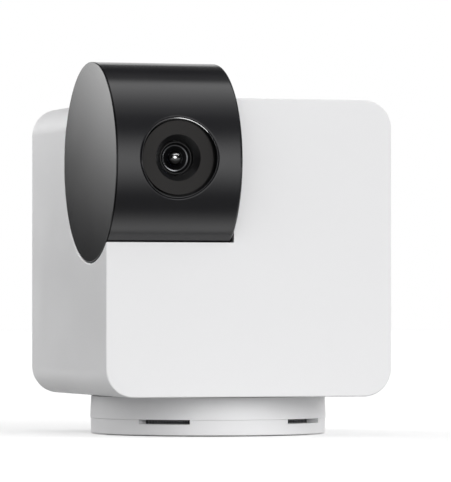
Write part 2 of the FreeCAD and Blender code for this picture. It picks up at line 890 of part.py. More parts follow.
def make_pan_pinion():
    gear = pinion(pan_motor_angle)
    gear.translate(Vector(0, 0, z_pan_pinion))
    keep("pan_pinion", gear)
    reach = z_pan_plate + motor_shaft_depth - seat_gap - z_pan_pinion
    shaft = drive_place(cylinder(motor_shaft_radius, reach, (0, 0, z_pan_pinion), UP), pan_motor_angle)
    keep("pan_motor_shaft", shaft)


def make_tilt_pinion():
    keep("tilt_pinion", to_tilt_axis(pinion(tilt_motor_angle), x_tilt_pinion))
    reach = x_bracket_end + motor_shaft_depth - seat_gap - x_tilt_pinion
    shaft = drive_place(cylinder(motor_shaft_radius, reach, (0, 0, 0), UP), tilt_motor_angle)
    keep("tilt_motor_shaft", to_tilt_axis(shaft, x_tilt_pinion))


def make_rear_cover():
    gap = rear_cover_gap
    cover = rounded_prism(x_inner_left + gap, x_inner_right - gap, z_floor + gap, z_ceiling - gap,
                          body_corner - body_wall - gap, y_cover_inner, y_cover_outer)
    pieces = [cover]
    pieces.append(tube(speaker_radius + fit_clearance + speaker_ring_wall, speaker_radius + fit_clearance,
                       speaker_ring_depth, (0, y_cover_inner, speaker_height), FRONT))
    for x, z in board_screw_points():
        pieces.append(cylinder(standoff_radius, board_gap, (x, y_cover_inner, z), FRONT))
    cutters = []
    rows = int(grille_radius / grille_pitch) + 1
    for i in range(-rows, rows + 1):
        for j in range(-rows, rows + 1):
            x = grille_pitch * (i + j / 2)
            z = grille_pitch * j * math.sqrt(3) / 2
            if math.hypot(x, z) < grille_radius:
                cutters.append(cylinder(grille_hole, rear_cover_thickness,
                                        (x, y_cover_inner, speaker_height + z), BACK))
    for x, z in rear_screw_points():
        cutters.append(cylinder(screw_radius + fit_clearance, rear_cover_thickness, (x, y_cover_inner, z),
                                BACK))
        cutters.append(cylinder(screw_head_radius + fit_clearance, rear_counterbore, (x, y_cover_outer, z),
                                FRONT))
    for x, z in board_screw_points():
        cutters.append(cylinder(screw_radius, screw_bite, (x, y_main_board_back, z), BACK))
    cutters.append(cylinder(button_radius + button_guide_gap, rear_cover_thickness,
                            (button_x, y_cover_inner, button_z), BACK))
    cutters.append(cylinder(microphone_hole, rear_cover_thickness, (microphone_x, y_cover_inner, button_z),
                            BACK))
    keep("rear_cover", joined(pieces).cut(cutters))
    y_seat = y_cover_outer - rear_counterbore
    length = rear_cover_thickness - rear_counterbore + screw_bite
    keep("rear_cover_screws", [screw((x, y_seat, z), FRONT, length) for x, z in rear_screw_points()])


def make_speaker():
    y_rim = y_cover_inner - speaker_rim
    pieces = [tube(speaker_radius, speaker_radius - cone_step, speaker_rim,
                   (0, y_cover_inner, speaker_height), FRONT)]
    pieces.append(cylinder(speaker_radius, speaker_plate, (0, y_rim, speaker_height), FRONT))
    pieces.append(cylinder(magnet_radius, speaker_depth - speaker_rim, (0, y_rim, speaker_height), FRONT))
    keep("speaker", joined(pieces))
    low = speaker_radius - cone_step - seat_gap
    centre = Vector(0, y_rim, speaker_height)
    back = Vector(*BACK)
    outer = Part.makeCone(magnet_radius, low, speaker_rim, centre, back)
    inner = Part.makeCone(magnet_radius, low, speaker_rim, centre + back * cone_thickness, back)
    keep("speaker_cone", outer.cut(inner))


def make_main_board():
    half = main_board_width / 2
    board = block(-half, half, y_main_board, y_main_board_back, main_board_bottom, z_main_board_top)
    holes = [cylinder(screw_radius + fit_clearance, main_board_thickness, (x, y_main_board, z), BACK)
             for x, z in board_screw_points()]
    keep("main_board", board.cut(holes))
    length = main_board_thickness + screw_bite
    keep("board_screws", [screw((x, y_main_board, z), BACK, length) for x, z in board_screw_points()])


def make_processor():
    half = shield_size / 2
    can = block(shield_x - half, shield_x + half, y_main_board - shield_height, y_main_board,
                shield_z - half, shield_z + half)
    room = block(shield_x - half + shield_wall, shield_x + half - shield_wall,
                 y_main_board - shield_height + shield_wall, y_main_board,
                 shield_z - half + shield_wall, shield_z + half - shield_wall)
    keep("processor_shield", can.cut(room))
    side = chip_size / 2
    keep("processor", block(shield_x - side, shield_x + side, y_main_board - chip_height, y_main_board,
                            shield_z - side, shield_z + side))


def connector_places():
    # Where each lead meets the main board: camera, pan motor and tilt motor
    pan_x, pan_y = polar(gear_distance + motor_offset, pan_motor_angle)
    tilt_y, tilt_z = polar(gear_distance + motor_offset, tilt_motor_angle, (drum_y, drum_z))
    return {"camera": (camera_lead_x, drum_z),
            "pan": (pan_x, z_pan_plate + motor_length / 2 + lead_drop),
            "tilt": (x_bracket_end + motor_length / 2, tilt_z - lead_drop)}


def make_connectors():
    boxes = []
    for x, z in connector_places().values():
        boxes.append(block(x - connector_width / 2, x + connector_width / 2, y_connector, y_main_board,
                           z - connector_height / 2, z + connector_height / 2))
    keep("board_connectors", boxes)


def make_motor_leads():
    places = connector_places()
    pan_y = polar(gear_distance + motor_offset, pan_motor_angle)[1] + motor_radius
    tilt_y = polar(gear_distance + motor_offset, tilt_motor_angle, (drum_y, drum_z))[0] + motor_radius
    leads = []
    for name, y_start, rise in (("pan", pan_y, -lead_drop), ("tilt", tilt_y, lead_drop)):
        x, z = places[name]
        y_middle = (y_start + y_connector) / 2
        leads.append(lead([(x, y_start, z + rise), (x, y_middle, z + rise), (x, y_middle, z),
                           (x, y_connector, z)],
                          motor_lead_radius, short_lead_bend))
    keep("motor_leads", leads)


def make_camera_leads():
    x, z = connector_places()["camera"]
    fixed = lead([(x_shaft_end + lead_slack, drum_y, drum_z), (x, drum_y, drum_z), (x, y_connector, z)],
                 camera_lead_radius, lead_bend)
    keep("camera_lead_to_board", fixed)
    start = lens_x + sensor_board_width / 4
    turning = lead([(start, y_sensor_board + board_thickness, drum_z), (start, drum_y, drum_z),
                    (x_shaft_end, drum_y, drum_z)], camera_lead_radius, lead_bend)
    keep("camera_lead", turning)


def make_reset_button():
    y_flange = y_cover_inner - seat_gap - button_flange_thickness
    y_switch = y_main_board_back + switch_height
    y_plunger = y_switch + switch_plunger_height
    pieces = [cylinder(button_radius, y_cover_outer - button_recess - y_flange,
                       (button_x, y_flange, button_z), BACK)]
    pieces.append(cylinder(button_flange, button_flange_thickness, (button_x, y_flange, button_z), BACK))
    pieces.append(cylinder(switch_plunger_radius, y_flange - y_plunger, (button_x, y_plunger, button_z),
                           BACK))
    keep("reset_button", joined(pieces))
    entry = switch_height - button_travel - seat_gap
    reach = entry - button_travel
    keep("switch_plunger", cylinder(switch_plunger_radius, y_plunger - y_switch + reach,
                                    (button_x, y_switch - reach, button_z), BACK))
    half = switch_size / 2
    switch = block(button_x - half, button_x + half, y_main_board_back, y_switch, button_z - half,
                   button_z + half)
    hole = cylinder(switch_plunger_radius + fit_clearance, entry, (button_x, y_switch, button_z), FRONT)
    keep("reset_switch", switch.cut(hole))


def make_microphone():
    keep("microphone",
         cylinder(microphone_radius, microphone_height, (microphone_x, y_cover_inner, button_z), FRONT))


def make_aerial():
    # Stuck to the right wall, below the upper corner post
    z = z_ceiling - rear_post_size - body_wall - aerial_width
    keep("aerial",
         block(x_inner_right - aerial_thickness, x_inner_right, y_main_board - aerial_length, y_main_board,
               z, z + aerial_width))


def make_drum_sleeve():
    x_start = x_left + cap_rim
    length = x_drum_right - x_start
    outer = drum_rod(drum_radius, length, x_start)
    outer = rounded_corners(outer, drum_end_round, lambda p: p.x > x_drum_right - edge_tolerance)
    room = drum_rod(drum_inner, length - drum_end_wall, x_start)
    barrel = lens_rod(lens_tube_outer, lens_tube_depth, y_drum_front)
    hole = lens_rod(lens_hole_radius, lens_tube_depth + cut_margin, y_drum_front - cut_margin)
    shape = joined([outer.cut(room), barrel.common(outer)]).cut(hole)
    shape = rounded_corners(shape, lens_hole_round, is_lens_edge)
    posts = []
    cutters = [drum_rod(shaft_radius + fit_clearance, drum_end_wall, x_drum_right - drum_end_wall)]
    for x, z in sensor_screw_points():
        posts.append(cylinder(sensor_post_radius, y_sensor_board - y_post_start, (x, y_post_start, z),
                              BACK))
        cutters.append(cylinder(screw_radius, screw_bite, (x, y_sensor_board, z), FRONT))
    for y, z in shaft_screw_points():
        cutters.append(cylinder(screw_radius, short_bite, (x_drum_right - drum_end_wall, y, z), RIGHT))
    keep("drum_sleeve", joined([shape] + posts).cut(cutters))


def is_lens_edge(point):
    # The rim where the lens hole meets the drum's outer face
    out = math.hypot(point.y - drum_y, point.z - drum_z)
    off = math.hypot(point.x - lens_x, point.z - lens_z)
    on_rim = abs(out - drum_radius) < edge_tolerance and abs(off - lens_hole_radius) < edge_tolerance
    return on_rim and point.y < drum_y


def sensor_screw_points():
    return [(lens_x - sensor_post_offset, lens_z), (lens_x + sensor_post_offset, lens_z)]


def shaft_screw_points():
    return [polar(shaft_screw_ring_radius, angle, (drum_y, drum_z)) for angle in shaft_screw_angles]


def make_drum_cap():
    disc = drum_rod(drum_radius, cap_rim, x_left)
    disc = rounded_corners(disc, cap_edge_round, lambda p: p.x < x_left + edge_tolerance)
    plug_radius = drum_inner - fit_clearance
    plug = drum_rod(plug_radius, cap_thickness - cap_rim, x_left + cap_rim)
    ring = drum_tube(plug_radius, plug_radius - cap_ring_width, cap_ring_depth, x_left + cap_thickness)
    keep("drum_cap", joined([disc, plug, ring]))


def make_tilt_shaft():
    x_flange = x_drum_right - drum_end_wall - shaft_flange_thickness
    length = x_tilt_gear - x_flange
    pieces = [cylinder(shaft_flange, shaft_flange_thickness, (0, 0, 0), UP),
              cylinder(shaft_radius, length, (0, 0, 0), UP)]
    keyed = d_section(shaft_radius, shaft_flat, gear_width)
    keyed.translate(Vector(0, 0, length))
    pieces.append(keyed)
    tail = x_shaft_end - x_tilt_gear_end
    pieces.append(cylinder(journal_radius, tail, (0, 0, length + gear_width), UP))
    cutters = [cylinder(shaft_bore, x_shaft_end - x_flange, (0, 0, 0), UP)]
    cutters.append(tube(2 * shaft_radius, journal_radius - clip_groove, clip_thickness + seat_gap,
                        (0, 0, length + gear_width + seat_gap), UP))
    for angle in shaft_screw_angles:
        cutters.append(cylinder(screw_radius + fit_clearance, shaft_flange_thickness,
                                (*polar(shaft_screw_ring_radius, angle), 0), UP))
    keep("tilt_shaft", to_tilt_axis(joined(pieces).cut(cutters), x_flange))


def make_drum_screws():
    seat = y_sensor_board + board_thickness
    screws = [screw((x, seat, z), FRONT, board_thickness + screw_bite) for x, z in sensor_screw_points()]
    x_seat = x_drum_right - drum_end_wall - shaft_flange_thickness
    for y, z in shaft_screw_points():
        screws.append(screw((x_seat, y, z), RIGHT, shaft_flange_thickness + short_bite))
    keep("drum_screws", screws)


def make_tilt_gear():
    gear = involute_gear(large_teeth, gear_width)
    gear = gear.cut(d_section(shaft_radius + seat_gap, shaft_flat + seat_gap, gear_width))
    keep("tilt_gear", to_tilt_axis(gear, x_tilt_gear))
    clip = retaining_clip(journal_radius - clip_groove, journal_radius + clip_reach)
    keep("tilt_clip", to_tilt_axis(clip, x_tilt_gear_end + seat_gap))


def make_lens_bezel():
    y_face = y_drum_front + bezel_recess
    y_back_face = y_face + bezel_depth
    outer = lens_hole_radius - seat_gap
    ring = lens_rod(outer, bezel_depth, y_face)
    seat = lens_rod(bezel_inner, y_window_back - y_face, y_face)
    window = lens_rod(bezel_shelf, y_back_face - y_face, y_face)
    keep("lens_bezel", ring.cut([seat, window]))


def make_lens_window():
    disc = lens_rod(window_radius, window_thickness, y_window)
    disc = rounded_corners(disc, window_edge_round, lambda p: p.y < y_window + edge_tolerance)
    mouth = Part.makeCone(window_mouth_radius, window_throat_radius, window_thickness,
                          Vector(lens_x, y_window, lens_z), Vector(*BACK))
    keep("lens_window", disc.cut(mouth))


def make_lens_barrel():
    barrel = lens_rod(barrel_radius, barrel_length, y_barrel)
    rim = [edge for edge in barrel.Edges if edge.BoundBox.YMax < y_barrel + edge_tolerance]
    barrel = barrel.makeChamfer(barrel_chamfer, rim)
    mouth = Part.makeCone(barrel_mouth_radius, glass_seat_radius, barrel_mouth_depth,
                          Vector(lens_x, y_barrel, lens_z), Vector(*BACK))
    bore = lens_rod(barrel_bore, barrel_length, y_barrel)
    y_seat = y_barrel + barrel_mouth_depth
    seat = lens_rod(glass_seat_radius, y_glass + glass_edge - y_seat, y_seat)
    keep("lens_barrel", barrel.cut([mouth, bore, seat]))


def make_lens_glass():
    # A front element: a disc with a domed face
    disc = lens_rod(glass_radius, glass_edge, y_glass)
    curve = (glass_radius ** 2 + glass_dome ** 2) / (2 * glass_dome)
    ball = Part.makeSphere(curve, Vector(lens_x, y_glass - glass_dome + curve, lens_z))
    dome = ball.common(lens_rod(glass_radius, glass_dome, y_glass - glass_dome))
    keep("lens_glass", joined([disc, dome]))
    rear = lens_rod(barrel_bore - seat_gap, rear_glass_length, y_glass + glass_edge)
    keep("rear_lens", rear)


def make_lens_holder():
    half = holder_size / 2
    y_face = y_sensor_board - holder_depth
    box = block(lens_x - half, lens_x + half, y_sensor_board - holder_foot, y_sensor_board, lens_z - half,
                lens_z + half)
    neck = lens_rod(holder_neck, holder_depth, y_face)
    bore = lens_rod(barrel_radius + seat_gap, holder_depth, y_face)
    reach = sensor_size / 2 + sensor_margin
    room = block(lens_x - reach, lens_x + reach, y_sensor_board - sensor_room, y_sensor_board,
                 lens_z - reach, lens_z + reach)
    cutters = [bore, room]
    for x, z in sensor_screw_points():
        cutters.append(cylinder(sensor_post_radius + fit_clearance, holder_depth, (x, y_face, z), BACK))
    keep("lens_holder", joined([box, neck]).cut(cutters))


def make_sensor_board():
    wide = sensor_board_width / 2
    high = sensor_board_height / 2
    board = block(lens_x - wide, lens_x + wide, y_sensor_board, y_sensor_board + board_thickness,
                  lens_z - high, lens_z + high)
    holes = [cylinder(screw_radius + fit_clearance, board_thickness, (x, y_sensor_board, z), BACK)
             for x, z in sensor_screw_points()]
    keep("sensor_board", board.cut(holes))
    half = sensor_size / 2
    keep("image_sensor",
         block(lens_x - half, lens_x + half, y_sensor_board - sensor_thickness, y_sensor_board,
               lens_z - half, lens_z + half))


def make_infrared_board():
    y_board = y_drum_front + bezel_recess + bezel_depth
    outer = lens_hole_radius - fit_clearance
    keep("infrared_board",
         lens_tube(outer, barrel_radius + fit_clearance, infrared_board_thickness, y_board))
    lights = []
    half = light_size / 2
    for i in range(light_count):
        light = block(light_ring_radius - half, light_ring_radius + half, -half, half, 0, light_height)
        light.rotate(Vector(0, 0, 0), Vector(0, 0, 1), 360 * (i + 0.5) / light_count)
        light.rotate(Vector(0, 0, 0), Vector(1, 0, 0), 90)
        light.translate(Vector(lens_x, y_board, lens_z))
        lights.append(light)
    keep("infrared_lights", lights)


def write_parts():
    os.makedirs("parts", exist_ok=True)
    for name in sorted(NODES):
        solids = NODES[name]
        for solid in solids:
            if not solid.isValid():
                print("not valid:", name)
        whole = solids[0] if len(solids) == 1 else Part.makeCompound(solids)
        whole.exportStep("parts/" + name + ".step")
        volume = sum(solid.Volume for solid in solids)
        print(f"{name}: {len(solids)} solids, {volume:.1f} mm3")


make_base_housing()
make_base_plate()
make_foot_pad()
make_base_screws()
make_spindle()
make_spindle_screws()
make_pan_gear()
make_pan_clip()
make_glide_washer()
make_power_board()
make_power_socket()
make_power_leads()
make_shell()
make_pan_bush()
make_tilt_bush()
make_tilt_bracket()
make_outer_bush()
make_pan_motor()
make_tilt_motor()
make_motor_screws()
make_pan_pinion()
make_tilt_pinion()
make_rear_cover()
make_speaker()
make_main_board()
make_processor()
make_connectors()
make_motor_leads()
make_camera_leads()
make_reset_button()
make_microphone()
make_aerial()
make_drum_sleeve()
make_drum_cap()
make_tilt_shaft()
make_drum_screws()
make_tilt_gear()
make_lens_bezel()
make_lens_window()
make_lens_barrel()
make_lens_glass()
make_lens_holder()
make_sensor_board()
make_infrared_board()
write_parts()
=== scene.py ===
import bpy
import bmesh
import json
import math
from mathutils import Matrix, Vector


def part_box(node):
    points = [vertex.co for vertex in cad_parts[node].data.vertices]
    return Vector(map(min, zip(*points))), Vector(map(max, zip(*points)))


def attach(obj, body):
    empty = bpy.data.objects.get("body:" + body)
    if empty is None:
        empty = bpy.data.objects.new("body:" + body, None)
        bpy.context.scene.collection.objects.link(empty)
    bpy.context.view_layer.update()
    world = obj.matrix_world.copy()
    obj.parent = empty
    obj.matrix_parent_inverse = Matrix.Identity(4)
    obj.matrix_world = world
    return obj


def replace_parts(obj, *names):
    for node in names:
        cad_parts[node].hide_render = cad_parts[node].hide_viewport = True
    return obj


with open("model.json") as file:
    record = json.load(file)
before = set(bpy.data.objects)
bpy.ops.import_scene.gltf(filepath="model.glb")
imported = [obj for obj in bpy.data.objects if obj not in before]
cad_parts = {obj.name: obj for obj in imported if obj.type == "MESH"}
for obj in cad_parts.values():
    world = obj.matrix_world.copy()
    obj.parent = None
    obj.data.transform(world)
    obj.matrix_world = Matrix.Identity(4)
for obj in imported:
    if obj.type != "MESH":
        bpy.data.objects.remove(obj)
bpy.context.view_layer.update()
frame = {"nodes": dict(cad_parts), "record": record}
nodes = frame["nodes"]
scene = bpy.context.scene
scene.view_settings.view_transform = "Standard"
mm = 0.001
print("frame loaded:", len(nodes), "nodes")


def fromHex(text):
    # sRGB hex to the linear colour that the shaders take
    values = [int(text[i:i + 2], 16) / 255 for i in (1, 3, 5)]
    return [v / 12.92 if v <= 0.04045 else ((v + 0.055) / 1.055) ** 2.4 for v in values] + [1.0]


def perMetre(size):
    # how many pattern cells of this size in mm fit in one metre
    return 1000 / size


def bandScale(pitch):
    # a wave texture's scale for bands this far apart in mm: it puts 20 / (2 pi) bands in each unit
    return perMetre(pitch) * math.pi / 10


def addNode(tree, kind, links=None, values=None, **settings):
    # one node: its own settings, values on its sockets, and what is linked into it
    node = tree.nodes.new("ShaderNode" + kind)
    for key, value in settings.items():
        setattr(node, key, value)
    for key, value in (values or {}).items():
        node.inputs[key].default_value = value
    for key, socket in (links or {}).items():
        tree.links.new(socket, node.inputs[key])
    return node


def newFinish(name, colour, roughness, metallic=0.0, ior=None, **more):
    # an empty material with its shader: what is the same all over goes on the shader's own sockets
    material = bpy.data.materials.new(name)
    material.use_nodes = True
    tree = material.node_tree
    shader = tree.nodes["Principled BSDF"]
    shader.inputs["Base Color"].default_value = fromHex(colour)
    shader.inputs["Roughness"].default_value = roughness
    shader.inputs["Metallic"].default_value = metallic
    if ior:
        shader.inputs["IOR"].default_value = ior
    for key, value in more.items():
        shader.inputs[key.replace("_", " ")].default_value = value
    return material, tree, shader


def mouldGrain(tree, shader, size, height, strength=0.3):
    # the fine grain of a moulded or cast skin, of this size in mm
    noise = addNode(tree, "TexNoise", {"Vector": addNode(tree, "TexCoord").outputs["Object"]},
                    {"Scale": perMetre(size), "Detail": 3.0, "Roughness": 0.6})
    bump = addNode(tree, "Bump", {"Height": noise.outputs["Fac"]},
                   {"Distance": height * mm, "Strength": strength})
    tree.links.new(bump.outputs["Normal"], shader.inputs["Normal"])
    return noise


def unevenGloss(tree, shader, size, low, high):
    # gloss that wanders slightly over patches of this size in mm; the noise keeps mostly between 0.3 and 0.7
    noise = addNode(tree, "TexNoise", {"Vector": addNode(tree, "TexCoord").outputs["Object"]},
                    {"Scale": perMetre(size), "Detail": 2.0})
    span = addNode(tree, "MapRange", {"Value": noise.outputs["Fac"]},
                   {"From Min": 0.3, "From Max": 0.7, "To Min": low, "To Max": high})
    tree.links.new(span.outputs["Result"], shader.inputs["Roughness"])


def twoTones(tree, shader, first, second, factor):
    # colour that runs between two tones
    ramp = addNode(tree, "ValToRGB", {"Fac": factor})
    ramp.color_ramp.elements[0].color = fromHex(first)
    ramp.color_ramp.elements[1].color = fromHex(second)
    tree.links.new(ramp.outputs["Color"], shader.inputs["Base Color"])


# where things are, read from the CAD solids
drumLow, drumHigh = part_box("drum_sleeve")
windowLow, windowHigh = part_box("lens_window")
drumRadius = (drumHigh[2] - drumLow[2]) / 2
drumY = (drumLow[1] + drumHigh[1]) / 2
drumZ = (drumLow[2] + drumHigh[2]) / 2
lensX = (windowLow[0] + windowHigh[0]) / 2
lensZ = (windowLow[2] + windowHigh[2]) / 2


def aroundLens(tree):
    # places measured from the lens's axis
    return addNode(tree, "Mapping", {"Vector": addNode(tree, "TexCoord").outputs["Object"]},
                   {"Location": (-lensX, 0, -lensZ)}).outputs["Vector"]


# finishes, each from what the real surface is


def makeWhiteCase():
    # ABS, injection moulded in a spark-eroded tool: an even white with a very fine satin grain.
    # The grain is about 0.1 mm on the real part and is drawn at 0.35 mm so that it shows close up
    material, tree, shader = newFinish("whiteMouldedAbs", "#EEEEEF", 0.42, ior=1.53)
    mouldGrain(tree, shader, size=0.35, height=0.012, strength=0.25)
    unevenGloss(tree, shader, size=9.0, low=0.38, high=0.46)
    return material


def makeBlackDrum():
    # polycarbonate from a polished tool: a deep black whose gloss ripples a little, like orange peel, over
    # about 4 mm
    material, tree, shader = newFinish("polishedBlackPolycarbonate", "#17171A", 0.16, ior=1.58)
    mouldGrain(tree, shader, size=4.0, height=0.004, strength=0.15)
    unevenGloss(tree, shader, size=14.0, low=0.14, high=0.19)
    return material


def makeLensTrim():
    # black ABS with a fine matt texture, so that the bezel's walls stay dark
    material, tree, shader = newFinish("mattBlackAbs", "#050506", 0.45, ior=1.53, Specular_IOR_Level=0.2)
    mouldGrain(tree, shader, size=0.3, height=0.015)
    unevenGloss(tree, shader, size=3.0, low=0.4, high=0.5)
    return material


# the radius in mm inside which the window is smooth, and its colour and roughness on each side of that
windowLook = {"mouthRadius": 4.95, "face": "#171514", "mouth": "#111112", "faceRough": 0.55, "mouthRough": 0.3}


def makeDarkWindow():
    # smoked polycarbonate that passes infrared: its face is etched to a warm matt grey,
    # and the funnel round the lens is left smooth; the funnel's near-black colour is painted shade of that
    # recess
    material, tree, shader = newFinish("smokedInfraredWindow", windowLook["face"], 0.5, ior=1.58,
                                       Specular_IOR_Level=0.3)
    flat = addNode(tree, "VectorMath", {0: aroundLens(tree)}, {1: (1, 0, 1)}, operation="MULTIPLY")
    out = addNode(tree, "VectorMath", {0: flat.outputs["Vector"]}, operation="LENGTH")
    face = addNode(tree, "Math", {0: out.outputs["Value"]}, {1: windowLook["mouthRadius"] * mm},
                   operation="GREATER_THAN")
    # inside the radius the colour is darker: painted shade of the funnel round the lens
    twoTones(tree, shader, windowLook["mouth"], windowLook["face"], face.outputs["Value"])
    mouldGrain(tree, shader, size=0.25, height=0.008, strength=0.25)
    gloss = addNode(tree, "MapRange", {"Value": face.outputs["Value"]},
                    {"To Min": windowLook["mouthRough"], "To Max": windowLook["faceRough"]})
    tree.links.new(gloss.outputs["Result"], shader.inputs["Roughness"])
    return material


def makeLensMetal():
    # aluminium, turned and dyed black by anodising: the dye leaves a dark, slightly glossy skin,
    # with fine turning rings about 0.2 mm apart round the lens's axis
    material, tree, shader = newFinish("blackAnodisedAluminium", "#0B0B0C", 0.3, ior=1.6,
                                       Specular_IOR_Level=0.35)
    rings = addNode(tree, "TexWave", {"Vector": aroundLens(tree)}, {"Scale": bandScale(0.2), "Distortion": 0.3},
                    wave_type="RINGS", rings_direction="Y")
    bump = addNode(tree, "Bump", {"Height": rings.outputs["Fac"]}, {"Distance": 0.004 * mm, "Strength": 0.4})
    tree.links.new(bump.outputs["Normal"], shader.inputs["Normal"])
    return material


def makeLensGlass():
    # optical glass, polished and coated: clear, with a faint blue-violet cast where it reflects
    material, tree, shader = newFinish("coatedOpticalGlass", "#4A4E5C", 0.03, ior=1.62,
                                       Transmission_Weight=1.0, Coat_Weight=0.6, Coat_Roughness=0.02)
    weight = addNode(tree, "LayerWeight", values={"Blend": 0.35})
    twoTones(tree, shader, "#2F3240", "#4C505E", weight.outputs["Facing"])
    return material


def makeRubber():
    # silicone rubber, compression moulded: matt black with a soft grain
    material, tree, shader = newFinish("mouldedRubber", "#1C1C1D", 0.75, ior=1.41)
    mouldGrain(tree, shader, size=0.6, height=0.03, strength=0.5)
    return material


def makePlain(name, light, dark, roughness, size, height, metallic=0.0, ior=None, **more):
    # a moulded or rolled skin with two close tones over patches, and a grain of its own
    material, tree, shader = newFinish(name, light, roughness, metallic, ior, **more)
    noise = mouldGrain(tree, shader, size, height)
    twoTones(tree, shader, dark, light, noise.outputs["Fac"])
    return material


def makeBrushed(name, light, dark, roughness, pitch, along):
    # metal with fine drawn or turned lines: the noise is stretched twenty times along the lines
    material, tree, shader = newFinish(name, light, roughness, metallic=1.0)
    stretch = [0.05 if axis == along else 1.0 for axis in "XYZ"]
    lines = addNode(tree, "Mapping", {"Vector": addNode(tree, "TexCoord").outputs["Object"]},
                    {"Scale": stretch})
    noise = addNode(tree, "TexNoise", {"Vector": lines.outputs["Vector"]},
                    {"Scale": perMetre(pitch), "Detail": 4.0})
    twoTones(tree, shader, dark, light, noise.outputs["Fac"])
    bump = addNode(tree, "Bump", {"Height": noise.outputs["Fac"]}, {"Distance": 0.01 * mm, "Strength": 0.3})
    tree.links.new(bump.outputs["Normal"], shader.inputs["Normal"])
    return material


def makeWoven(name, light, dark, pitch):
    # plain weave: threads cross at right angles, lighter on top of each thread and dark in the gaps
    material, tree, shader = newFinish(name, light, 0.8, ior=1.5)
    place = addNode(tree, "TexCoord").outputs["Object"]
    threads = [addNode(tree, "TexWave", {"Vector": place}, {"Scale": bandScale(pitch), "Distortion": 0.4},
                       bands_direction=axis) for axis in "XZ"]
    weave = addNode(tree, "Math", {0: threads[0].outputs["Fac"], 1: threads[1].outputs["Fac"]},
                    operation="MULTIPLY")
    twoTones(tree, shader, dark, light, weave.outputs["Value"])
    bump = addNode(tree, "Bump", {"Height": weave.outputs["Value"]}, {"Distance": 0.05 * mm, "Strength": 0.6})
    tree.links.new(bump.outputs["Normal"], shader.inputs["Normal"])
    return material


def makeCircuitBoard(name, mask, dark, light):
    # glass-epoxy board under a solder mask: the copper runs below it show as a slightly lighter pattern,
    # drawn as a maze of 1.3 mm cells
    material, tree, shader = newFinish(name, mask, 0.35, ior=1.5)
    cells = addNode(tree, "TexVoronoi", {"Vector": addNode(tree, "TexCoord").outputs["Object"]},
                    {"Scale": perMetre(1.3)}, distance="MANHATTAN", feature="F1")
    # the walls between the cells are where the distance is largest
    edge = addNode(tree, "MapRange", {"Value": cells.outputs["Distance"]}, {"From Min": 0.42, "From Max": 0.5})
    twoTones(tree, shader, dark, light, edge.outputs["Result"])
    return material


# plain finishes give their light and dark tone, roughness, and the size and height of their grain in mm;
# brushed ones give their two tones, roughness, the pitch of their lines in mm and the axis these run along
finishes = {
    "white_case": makeWhiteCase(),
    "black_drum": makeBlackDrum(),
    "lens_trim": makeLensTrim(),
    "dark_window": makeDarkWindow(),
    "lens_metal": makeLensMetal(),
    "lens_glass": makeLensGlass(),
    "foot_rubber": makeRubber(),
    # acetal, moulded: waxy off-white gears
    "acetal": makePlain("naturalAcetal", "#E6E3DA", "#DBD7CC", 0.32, 0.8, 0.01, ior=1.48,
                        Subsurface_Weight=0.05),
    # low friction washer, skived film: dull milky white
    "slip_washer": makePlain("skivedSlipFilm", "#EFEFEB", "#E3E3DE", 0.5, 0.5, 0.02, ior=1.35),
    # sintered bronze: brown gold with open pores about 0.15 mm across
    "bronze": makePlain("sinteredBronze", "#B98A52", "#8C6235", 0.45, 0.15, 0.03, metallic=1.0),
    # aluminium, turned: pale silver with fine lines
    "turned_metal": makeBrushed("turnedAluminium", "#D3D5D7", "#B7B9BC", 0.25, 0.3, "Z"),
    # zinc plated sheet: cool grey with faint rolling lines
    "sheet_metal": makeBrushed("zincPlatedSheet", "#BDC1C4", "#A3A7AB", 0.35, 0.4, "X"),
    # steel dipped in tin: a soft, slightly streaked silver
    "tin": makeBrushed("tinnedSteel", "#C9C9C6", "#B3B3B0", 0.3, 0.5, "X"),
    # steel, ground: mid grey with fine, close lines
    "steel": makeBrushed("groundSteel", "#B4B5B8", "#96979A", 0.22, 0.2, "Y"),
    # steel, nickel plated: bright and slightly warm
    "screw_metal": makeBrushed("nickelPlatedSteel", "#CFCFCC", "#B5B4AF", 0.2, 0.3, "Z"),
    "circuit_board": makeCircuitBoard("greenSolderMask", "#0F5A33", "#0C4A2A", "#1B7546"),
    "black_board": makeCircuitBoard("blackSolderMask", "#0D0D0E", "#0B0B0C", "#161618"),
    # epoxy moulding compound: charcoal, very fine matt grain
    "chip": makePlain("mouldedEpoxy", "#2B2B2D", "#222224", 0.55, 0.2, 0.02, ior=1.55),
    # clear resin, cast: the pale carrier of the chip shows through
    "light_body": makePlain("clearResin", "#D9DCCF", "#BEC2B2", 0.12, 1.0, 0.005, ior=1.54),
    # nylon, moulded: warm ivory
    "connector": makePlain("ivoryNylon", "#E9E4D2", "#DAD4C0", 0.4, 0.6, 0.015, ior=1.53),
    # flexible PVC, extruded: soft black with a faint sheen
    "lead_cover": makePlain("extrudedPvc", "#252527", "#1C1C1E", 0.45, 1.2, 0.02, ior=1.54),
    # pressed film cone: dark grey, slightly fibrous
    "paper_cone": makePlain("pressedCone", "#3A3A3C", "#2C2C2E", 0.7, 0.3, 0.04, ior=1.45),
    # nickel silver, rolled: pale and slightly yellow, with faint lines
    "microphone_case": makeBrushed("nickelSilverCan", "#BEBDB8", "#A5A49F", 0.3, 0.3, "X"),
    # polyimide film over copper: orange brown, with broad soft patches
    "film": makePlain("polyimideFilm", "#A8641F", "#8A4E15", 0.3, 6.0, 0.01, ior=1.6),
}
print("finishes:", len(finishes))


# how meshes are smoothed: distances in mm, and the angle in degrees from which an edge stays sharp
smoothLook = {"weld": 0.0005, "merge": 0.001, "crease": 32, "weight": 90}


def shadeSmooth(piece):
    for face in piece.data.polygons:
        face.use_smooth = True


def splitSharpEdges(piece):
    split = piece.modifiers.new("split", "EDGE_SPLIT")
    split.split_angle = math.radians(smoothLook["crease"])


